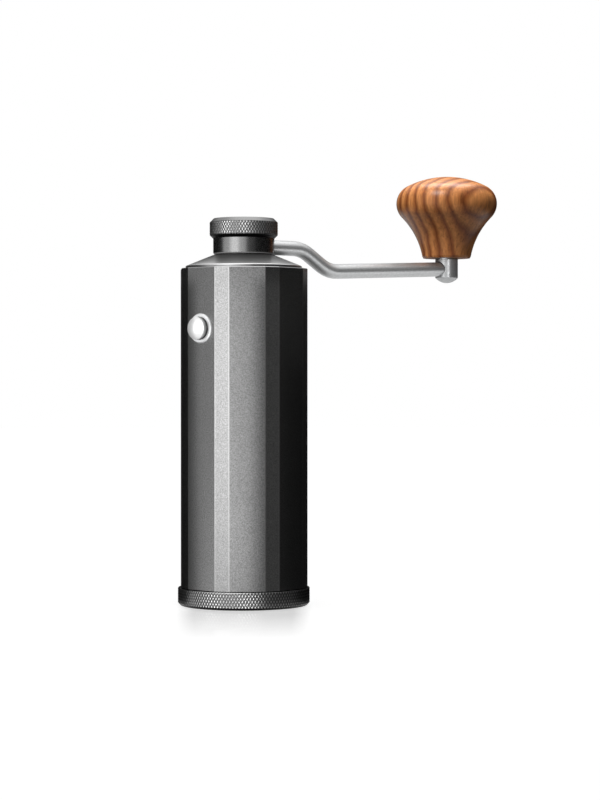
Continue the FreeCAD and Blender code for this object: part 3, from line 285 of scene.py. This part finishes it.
def walnut(name):
    """Rubbed walnut: upright growth layers that the turned shape cuts on the slant, fibres and fine pores."""
    material, tree, shader = tree_of(name)
    at_knob = place(tree, shift=(-KNOB_X, -KNOB_Y, -KNOB_LOW))
    at = split_xyz(tree, at_knob)
    drift = calc(tree, "SUBTRACT", noise(tree, at_knob, 60.0), 0.5)
    layers = calc(tree, "ADD", calc(tree, "MULTIPLY", at["X"], LAYERS_X),
                  calc(tree, "MULTIPLY", at["Y"], LAYERS_Y))
    layers = calc(tree, "ADD", layers, calc(tree, "MULTIPLY", drift, LAYER_DRIFT))
    layers = calc(tree, "ADD", layers, LAYER_OFFSET)
    cycle = calc(tree, "FRACT", calc(tree, "MULTIPLY", layers, 1 / LAYER_PITCH))
    on_axis = (-KNOB_X, -KNOB_Y, 0)
    fibres = noise(tree, place(tree, scale=(1, 1, 0.12), shift=on_axis), 900.0, 4.0, 0.65)
    pores = noise(tree, place(tree, scale=(1, 1, 0.09), shift=on_axis), 1900.0)
    wood = ramp(tree, cycle, [(0.0, LATE_WOOD), (0.14, (0.310, 0.105, 0.031)),
                              (0.32, (0.560, 0.225, 0.073)), (0.58, (0.530, 0.205, 0.064)),
                              (0.82, (0.350, 0.120, 0.035)), (1.0, LATE_WOOD)])
    wood = blend(tree, "MULTIPLY", 0.7, wood, ramp(tree, fibres, [(0.30, 0.40), (0.62, 1.0)]))
    wood = blend(tree, "MULTIPLY", 0.6, wood, ramp(tree, pores, [(0.28, 0.35), (0.40, 1.0)]))
    link(tree, wood, shader.inputs["Base Color"])
    link(tree, ramp(tree, fibres, [(0.3, 0.40), (0.7, 0.28)]), shader.inputs["Roughness"])
    shader.inputs["Specular IOR Level"].default_value = 0.2
    relief(tree, shader, pores, 0.12, 0.08 * MM)
    return material


def button_chrome(name, foot, head):
    """Satin chrome with painted shade down the button's side, darker from head to foot along the way it is
    pushed.
    """
    material, tree, shader = tree_of(name)
    at = split_xyz(tree, place(tree))
    out = calc(tree, "MULTIPLY", calc(tree, "ADD", at["X"], at["Y"]), -DIAGONAL)
    grain = noise(tree, place(tree), 900.0, 3.0)
    # Painted shade: dark at the button's foot by the bezel, bright towards its head.
    tone = ramp(tree, span(tree, out, foot, head), [(0.0, 0.015), (0.35, 0.06), (1.0, 0.90)])
    tone = blend(tree, "MULTIPLY", 0.2, tone, ramp(tree, grain, [(0.3, 0.92), (0.7, 1.0)]))
    link(tree, tone, shader.inputs["Base Color"])
    link(tree, ramp(tree, grain, [(0.3, 0.37), (0.7, 0.35)]), shader.inputs["Roughness"])
    shader.inputs["Metallic"].default_value = 0.4
    relief(tree, shader, grain, 0.01, 0.02 * MM)
    return material


def plain(name, tone, rough):
    """Rubber or moulded plastic with a fine matt skin."""
    material, tree, shader = tree_of(name)
    skin = noise(tree, place(tree), 1500.0, 3.0, 0.55)
    link(tree, ramp(tree, skin, [(0.3, tone * 0.8), (0.7, tone * 1.2)]), shader.inputs["Base Color"])
    link(tree, ramp(tree, skin, [(0.3, rough + 0.06), (0.7, rough - 0.06)]), shader.inputs["Roughness"])
    relief(tree, shader, skin, 0.15, 0.03 * MM)
    return material


def knurl_metal(name):
    """Dark anodised metal with painted shade down in the knurl's grooves and a painted highlight on its
    crests.
    """
    material, tree, shader = tree_of(name)
    level = tree.nodes.new("ShaderNodeAttribute")
    level.attribute_name = "knurl_height"
    grain = noise(tree, place(tree), 2600.0)
    # Painted shade in the grooves and a painted highlight on the crests, by the knurl's height.
    tone = ramp(tree, level.outputs["Fac"], [(0.0, 0.01), (0.35, 0.14), (0.75, 0.48), (1.0, 0.70)])
    tone = blend(tree, "MULTIPLY", 0.3, tone, ramp(tree, grain, [(0.3, 0.7), (0.7, 1.0)]))
    link(tree, tone, shader.inputs["Base Color"])
    link(tree, ramp(tree, level.outputs["Fac"], [(0.0, 0.45), (1.0, 0.30)]), shader.inputs["Roughness"])
    shader.inputs["Metallic"].default_value = 1.0
    relief(tree, shader, grain, 0.1, 0.02 * MM)
    return material


BODY_GRAIN, HUB_GRAIN = 0.42 * MM, 0.30 * MM
LID_EDGE, _, LID_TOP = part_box("lid_cover")[1]
HUB_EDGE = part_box("crank_hub")[1][0]
HUB_LIP = LID_TOP + 0.80 * MM
BUTTON_FOOT, BUTTON_HEAD = SHELL_FACET + 0.9 * MM, SHELL_FACET + 2.9 * MM
LOOKS = {
    "anodised_body": anodised("anodised_body", 0.185, 0.375, 0.33, BODY_GRAIN, edge_highlight_tone=0.37),
    "anodised_trim": turned_metal("anodised_trim", 0.17, 0.24, 0.34),
    "core_aluminium": turned_metal("core_aluminium", 0.56, 0.68, 0.32),
    "cup_aluminium": anodised("cup_aluminium", 0.21, 0.32, 0.36, BODY_GRAIN),
    "satin_steel": steel("satin_steel", (0.72, 0.73, 0.735), 0.36, metallic=0.55),
    "burr_steel": steel("burr_steel", (0.46, 0.47, 0.48), 0.28, grain=1400.0),
    "bearing_steel": steel("bearing_steel", (0.72, 0.73, 0.74), 0.14, bump=0.03),
    "spring_steel": steel("spring_steel", (0.50, 0.51, 0.53), 0.24, bump=0.04),
    "chrome": steel("chrome", (0.90, 0.905, 0.91), 0.30, grain=500.0, bump=0.01, metallic=0.55),
    "bronze": steel("bronze", (0.60, 0.40, 0.19), 0.30, grain=1100.0),
    "wood": walnut("walnut"),
    "seal_rubber": plain("seal_rubber", 0.022, 0.55),
    "bush_plastic": plain("bush_plastic", 0.03, 0.45),
}
OWN_LOOKS = {
    "release_button": button_chrome("button_chrome", BUTTON_FOOT, BUTTON_HEAD),
    "lid_cover": turned_metal("lid_trim", 0.44, 0.58, 0.36, hub=HUB_EDGE, rim=LID_EDGE),
    "knob_spindle": steel("spindle_steel", (0.56, 0.57, 0.575), 0.34, metallic=0.6),
    "crank_hub": anodised("hub_trim", 0.23, 0.32, 0.27, HUB_GRAIN, bump=0.1, lip=HUB_LIP),
}
KNURLED = knurl_metal("knurled_trim")

for piece in frame["record"]["subparts"]:
    node = NODES[piece["node"]]
    node.data.materials.clear()
    node.data.materials.append(OWN_LOOKS.get(piece["node"], LOOKS[piece["material_slot"]]))


# The knurled cap and base ring, in mm and in the places of their plain CAD nodes.
KNURL_STEPS = 4         # mesh columns for each diamond, and rows for each half of one
KNURL_FLAT = 1.15       # over 1 leaves a small flat on each crest
PLAIN_TONE = 0.7        # the tone of the turned faces, on the scale of the knurl's height


def box_mm(node):
    low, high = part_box(node)
    return [value / MM for value in low], [value / MM for value in high]


def knurled_ring(name, body, node, low_chamfer, top_chamfer, rim_tone, around, lift, depth, top, inner):
    """A turned ring whose rim carries a diamond knurl, cut off by its two chamfers.

    rim_tone is for the upper chamfer, around the number of diamonds, lift half a diamond's height. top is
    the (radius, height) run from the rim's upper edge inwards, inner the run from the inside back to the
    rim's foot. With both, each run's inner end is closed by a flat disc. Without top, inner starts at the
    rim's upper edge.
    """
    (_, _, low), (outside, _, high) = box_mm(node)
    columns = around * KNURL_STEPS
    rows = max(2, round((high - low) / (lift / KNURL_STEPS)))

    def at(radius, k, z):
        angle = 2 * math.pi * k / columns
        return radius * math.cos(angle) * MM, radius * math.sin(angle) * MM, z * MM

    points, level = [], []
    for row in range(rows + 1):
        z = low + (high - low) * row / rows
        cone = min(outside - low_chamfer + (z - low), outside - top_chamfer + (high - z), outside)
        for k in range(columns):
            across, up = k / KNURL_STEPS, (z - low) / (2 * lift)
            u, v = across + up, across - up
            ridge = 2 * min(abs(u - round(u)), abs(v - round(v)))
            crest = min(1.0, KNURL_FLAT * ridge)
            radius = min(cone, outside - depth * (1 - crest))
            points.append(at(radius, k, z))
            # The lower chamfer takes level 0, the darkest tone: painted shade along the ring's underside
            # edge.
            level.append(crest if radius < cone else rim_tone if z > low + low_chamfer else 0.0)
    for radius, z in top + inner:
        points += [at(radius, k, z) for k in range(columns)]
        level += [PLAIN_TONE] * columns
    loops = rows + 1 + len(top) + len(inner)
    roof = rows + len(top) if top else None
    faces = []
    for row in range(loops):
        if row == roof:
            continue
        here, there = row * columns, (row + 1) % loops * columns
        for k in range(columns):
            after = (k + 1) % columns
            faces.append((here + k, here + after, there + after, there + k))
    if top:
        faces.append(tuple(roof * columns + k for k in range(columns)))
        faces.append(tuple((roof + 1) * columns + k for k in reversed(range(columns))))
    mesh = bpy.data.meshes.new(name)
    mesh.from_pydata(points, [], faces)
    mesh.materials.append(KNURLED)
    mesh.attributes.new("knurl_height", "FLOAT", "POINT").data.foreach_set("value", level)
    mesh.update()
    piece = bpy.data.objects.new(name, mesh)
    bpy.context.scene.collection.objects.link(piece)
    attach(piece, body)
    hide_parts(node)
    return piece


(_, _, CAP_FOOT), (CAP_R, _, CAP_TOP) = box_mm("crank_cap")
CAP_FACE_R, CAP_DISH_R, CAP_DISH = CAP_R - 2.3, CAP_R - 2.6, 0.12
CAP_HOLE_R, CAP_HOLE_DEPTH = 9.09, 5.2
cap = knurled_ring("cap_knurled", "crank", "crank_cap", low_chamfer=1.3, top_chamfer=1.6, rim_tone=0.45,
                   around=72, lift=1.0, depth=0.16,
                   top=[(CAP_FACE_R, CAP_TOP), (CAP_DISH_R, CAP_TOP - CAP_DISH)],
                   inner=[(CAP_HOLE_R, CAP_FOOT + CAP_HOLE_DEPTH), (CAP_HOLE_R, CAP_FOOT)])

(_, _, BASE_FOOT), (_, _, BASE_TOP) = box_mm("base_ring")
BASE_HOLE_R, BASE_STEP_R, BASE_STEP = 22.3, 23.1, 1.6
base = knurled_ring("base_knurled", "cup", "base_ring", low_chamfer=1.0, top_chamfer=0.25, rim_tone=1.0,
                    around=130, lift=1.08, depth=0.17, top=[],
                    inner=[(BASE_HOLE_R, BASE_TOP), (BASE_HOLE_R, BASE_STEP),
                           (BASE_STEP_R, BASE_STEP), (BASE_STEP_R, BASE_FOOT)])


def spring(name, node):
    """A still copy of a CAD spring, set where the CAD node stands, which is then hidden."""
    mesh = NODES[node].data.copy()
    mesh.transform(NODES[node].matrix_world)
    piece = bpy.data.objects.new(name, mesh)
    bpy.context.scene.collection.objects.link(piece)
    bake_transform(piece)
    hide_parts(node)


spring("burr_coil", "burr_spring")
spring("button_coil", "button_spring")


# The stage: a white floor with a faint sheen, and dark cards that only reflections see.
FLOOR_SIZE, FLOOR_Z = 6.0, -0.0001
DIM_WORLD = 0.16                    # the world's light on matt surfaces; what is seen of it is white
FLOOR_GLOW = 1.03 - DIM_WORLD       # lifts what is seen of the floor to white
SHEEN, SHEEN_BLUR = 0.36, 0.035
SHEEN_BEGIN = -0.01                 # along Y, in full from here forwards
SHEEN_START, SHEEN_END = 0.042, 0.120       # distances from the axis between which it dies away
SHEEN_HALF, SHEEN_FADE, SHEEN_BORDER = 0.026, 0.006, 0.001
SHEEN_RIGHT, SHEEN_LEFT = 0.090, 0.028      # how far its two sides lean, in X for each metre of Y


def stage_mesh(name, points, faces, material):
    mesh = bpy.data.meshes.new(name)
    mesh.from_pydata(points, [], faces)
    mesh.materials.append(material)
    thing = bpy.data.objects.new(name, mesh)
    bpy.context.scene.collection.objects.link(thing)
    return thing


def seen_ray(tree):
    """1 for what the camera sees straight, mirrored or through glass, 0 for light on matt surfaces."""
    path = tree.nodes.new("ShaderNodeLightPath")
    seen = calc(tree, "MAXIMUM", path.outputs["Is Camera Ray"], path.outputs["Is Glossy Ray"])
    return calc(tree, "MAXIMUM", seen, path.outputs["Is Transmission Ray"])


def matt(name, tone):
    """A matt material that may glow white."""
    material, tree, shader = tree_of(name)
    shader.inputs["Base Color"].default_value = grey(tone)
    shader.inputs["Roughness"].default_value = 1.0
    shader.inputs["Specular IOR Level"].default_value = 0.0
    shader.inputs["Emission Color"].default_value = grey(1)
    return material, tree, shader


def floor_white():
    """White, with a mirror sheen in front of the object's foot that dies away forwards and to its sides."""
    material, tree, shader = matt("floor_white", 1)
    link(tree, calc(tree, "MULTIPLY", seen_ray(tree), FLOOR_GLOW), shader.inputs["Emission Strength"])
    gloss = tree.nodes.new("ShaderNodeBsdfGlossy")
    gloss.inputs["Roughness"].default_value = SHEEN_BLUR
    radius, _ = around_axis(tree)
    at = split_xyz(tree, place(tree))
    right = calc(tree, "SUBTRACT", at["X"], calc(tree, "MULTIPLY", at["Y"], SHEEN_RIGHT))
    left = calc(tree, "SUBTRACT", at["X"], calc(tree, "MULTIPLY", at["Y"], SHEEN_LEFT))
    border, inside = SHEEN_HALF + SHEEN_BORDER, SHEEN_HALF - SHEEN_FADE
    forwards = calc(tree, "MULTIPLY", span(tree, at["Y"], 0.0, SHEEN_BEGIN),
                    span(tree, radius, SHEEN_END, SHEEN_START))
    sideways = calc(tree, "MULTIPLY", span(tree, right, border, inside), span(tree, left, -border, -inside))
    near = calc(tree, "MULTIPLY", forwards, sideways)
    surface_mix(tree, calc(tree, "MULTIPLY", near, SHEEN), shader.outputs["BSDF"], gloss.outputs["BSDF"])
    return material


half = FLOOR_SIZE / 2
corners = [(-half, -half, FLOOR_Z), (half, -half, FLOOR_Z), (half, half, FLOOR_Z), (-half, half, FLOOR_Z)]
floor = stage_mesh("floor", corners, [(0, 1, 2, 3)], floor_white())


def card_skin(name, glow, fade=None):
    """Dark on the side that faces the object and nothing from behind; it thins out between fade's heights."""
    material, tree, shader = matt(name, 0)
    shader.inputs["Emission Strength"].default_value = glow
    side = tree.nodes.new("ShaderNodeNewGeometry")
    clear = tree.nodes.new("ShaderNodeBsdfTransparent")
    share = side.outputs["Backfacing"]
    if fade is not None:
        share = calc(tree, "MAXIMUM", share, span(tree, split_xyz(tree, place(tree))["Z"], *fade))
    surface_mix(tree, share, shader.outputs["BSDF"], clear.outputs["BSDF"])
    return material


def bearing(degrees, distance):
    """A floor point at a bearing from the front, positive to the right."""
    angle = math.radians(degrees)
    return distance * math.sin(angle), -distance * math.cos(angle)


CARD_STEPS = 40
UNSEEN_BY = ("camera", "diffuse", "shadow", "transmission", "volume_scatter")


def dark_side(name, first, last, rows, skin):
    """A curved card from one bearing to another that only reflections see; rows are (distance, height)."""
    bearings = [first + (last - first) * k / CARD_STEPS for k in range(CARD_STEPS + 1)]
    points = [(*bearing(degrees, distance), height) for distance, height in rows for degrees in bearings]
    count = len(bearings)
    faces = [(row * count + k, row * count + k + 1, (row + 1) * count + k + 1, (row + 1) * count + k)
             for row in range(len(rows) - 1) for k in range(CARD_STEPS)]
    if last > first:
        faces = [face[::-1] for face in faces]
    card = stage_mesh(name, points, faces, skin)
    for ray in UNSEEN_BY:
        setattr(card, "visible_" + ray, False)


BLACK_GLOW, GREY_GLOW = 0.012, 0.11
SOFT_TOP = (0.085, 0.125)           # heights between which the soft card thins out to nothing
BLACK_CARD = card_skin("flag_black", BLACK_GLOW)
SOFT_CARD = card_skin("flag_soft", BLACK_GLOW, fade=SOFT_TOP)
GREY_CARD = card_skin("flag_grey", GREY_GLOW)
NEAR, FAR = 0.045, 0.42             # the cards' distances from the axis
NEAR_CARD = [(0.029, 0.0002), (NEAR, 0.0002), (NEAR, 0.1275)]
FAR_CARD = [(FAR, 0.02), (FAR, 0.40)]
BACK_CARD = [(FAR, 0.10), (FAR, 0.36)]
dark_side("flag_front_right", 4, 56, NEAR_CARD, GREY_CARD)
dark_side("flag_right", 56, 165, NEAR_CARD, SOFT_CARD)
dark_side("flag_left", -67, -165, NEAR_CARD, BLACK_CARD)
dark_side("flag_far_front", 6, 40, FAR_CARD, GREY_CARD)
dark_side("flag_far_right", 40, 165, FAR_CARD, BLACK_CARD)
dark_side("flag_far_left", -86, -165, FAR_CARD, BLACK_CARD)
dark_side("flag_far_back", 164, 196, BACK_CARD, GREY_CARD)


# The light: soft lamps that leave the floor to its own white, and a dim white world.
not_floor = bpy.data.collections.new("all_but_the_floor")
not_floor.objects.link(floor)
not_floor.collection_objects[0].light_linking.link_state = "EXCLUDE"


def softbox(name, degrees, distance, height, wide, tall, radiance, aim, only=()):
    """A soft lamp of a given brightness, aimed at a point; it lights those pieces, or all but the floor."""
    lamp = bpy.data.lights.new(name, "AREA")
    lamp.shape = "RECTANGLE"
    lamp.size, lamp.size_y = wide, tall
    lamp.energy = radiance * math.pi * wide * tall
    thing = bpy.data.objects.new(name, lamp)
    thing.location = (*bearing(degrees, distance), height)
    thing.rotation_euler = (Vector(aim) - thing.location).to_track_quat("-Z", "Y").to_euler()
    thing.visible_camera = False
    bpy.context.scene.collection.objects.link(thing)
    receivers = not_floor
    if only:
        receivers = bpy.data.collections.new(name + "_lights")
        for piece in only:
            receivers.objects.link(piece)
    thing.light_linking.receiver_collection = receivers


BODY_MIDDLE, BODY_LOWER, BODY_FOOT = (0, 0, 0.09), (0, 0, 0.065), (0, 0, 0.01)
BASE_AIM, CAP_AIM, LID_AIM = (0, 0, 0.004), (0, 0, 0.148), (0.05, 0.02, 0.13)
ARM_MIDDLE = (KNOB_X / 2, KNOB_Y / 2, 0.141)
KNOB_MIDDLE = (KNOB_X, KNOB_Y, (knob_low[2] + knob_high[2]) / 2)
BUTTON_MIDDLE = (-0.018, -0.018, 0.117)
KNOB = (NODES["knob_grip"],)
ROD = (NODES["crank_arm"],)
BUTTON = (NODES["release_button"], NODES["button_bezel"])
SPINDLE = (NODES["knob_spindle"],)
SHELL = (NODES["casing_shell"],)
# Bearing, distance and height, then the lamp's width, height and brightness, its aim and what it lights.
softbox("softbox_left", -38, 0.42, 0.16, 0.24, 0.50, 1.35, BODY_MIDDLE)
softbox("softbox_low", -38, 0.42, 0.06, 0.24, 0.12, 0.8, BODY_FOOT, SHELL)
softbox("softbox_front", -14, 0.10, 0.065, 0.05, 0.13, 1.05, BODY_LOWER)
softbox("softbox_top", 75, 0.06, 0.62, 0.50, 0.50, 1.3, LID_AIM)
softbox("softbox_key", -28, 0.36, 0.66, 0.22, 0.22, 32.0, KNOB_MIDDLE, KNOB)
softbox("softbox_back", 148, 0.20, 0.55, 0.32, 0.24, 9.5, KNOB_MIDDLE, KNOB)
softbox("softbox_arm", 70, 0.20, 0.05, 0.20, 0.07, 0.7, ARM_MIDDLE, ROD)
softbox("softbox_rod", 75, 0.10, 0.60, 0.40, 0.30, 2.7, ARM_MIDDLE, ROD)
softbox("softbox_button", -55, 0.30, 0.14, 0.30, 0.30, 1.65, BUTTON_MIDDLE, BUTTON)
softbox("softbox_spindle", 24, 0.40, 0.13, 0.10, 0.20, 5.0, KNOB_MIDDLE, SPINDLE)
softbox("softbox_cap", -32, 0.32, 0.17, 0.12, 0.12, 12.0, CAP_AIM, (cap,))
softbox("softbox_base", -28, 0.34, 0.10, 0.14, 0.14, 6.0, BASE_AIM, (base,))

world = bpy.data.worlds.new("white_studio")
bpy.context.scene.world = world
world.use_nodes = True
world_tree = world.node_tree
background = world_tree.nodes["Background"]
background.inputs["Color"].default_value = grey(1)
link(world_tree, calc(world_tree, "MAXIMUM", seen_ray(world_tree), DIM_WORLD), background.inputs["Strength"])

# The camera: all but level, in front of the wide front facet and a little to its left.
IMAGE_WIDTH, IMAGE_HEIGHT = 600, 800
FOCAL_PX = 2250.0
AXIS_PX_PER_METRE = 2535.0
AXIS_X_PX, HORIZON_Y_PX = 243.8, 376.2
SENSOR = 36.0
CAMERA_BEARING, CAMERA_HEIGHT = -3.1, 0.0900
camera_data = bpy.data.cameras.new("camera")
camera_data.sensor_width = SENSOR
camera_data.lens = FOCAL_PX * SENSOR / IMAGE_HEIGHT
camera_data.clip_start = 0.01
camera = bpy.data.objects.new("camera", camera_data)
camera.location = (*bearing(CAMERA_BEARING, FOCAL_PX / AXIS_PX_PER_METRE), CAMERA_HEIGHT)
turn_right = math.radians(-CAMERA_BEARING) + math.atan((IMAGE_WIDTH / 2 - AXIS_X_PX) / FOCAL_PX)
tilt_down = math.atan((IMAGE_HEIGHT / 2 - HORIZON_Y_PX) / FOCAL_PX)
camera.rotation_euler = (math.pi / 2 - tilt_down, 0, -turn_right)
bpy.context.scene.collection.objects.link(camera)
bpy.context.scene.camera = camera
bpy.context.scene.view_settings.view_transform = "Standard"
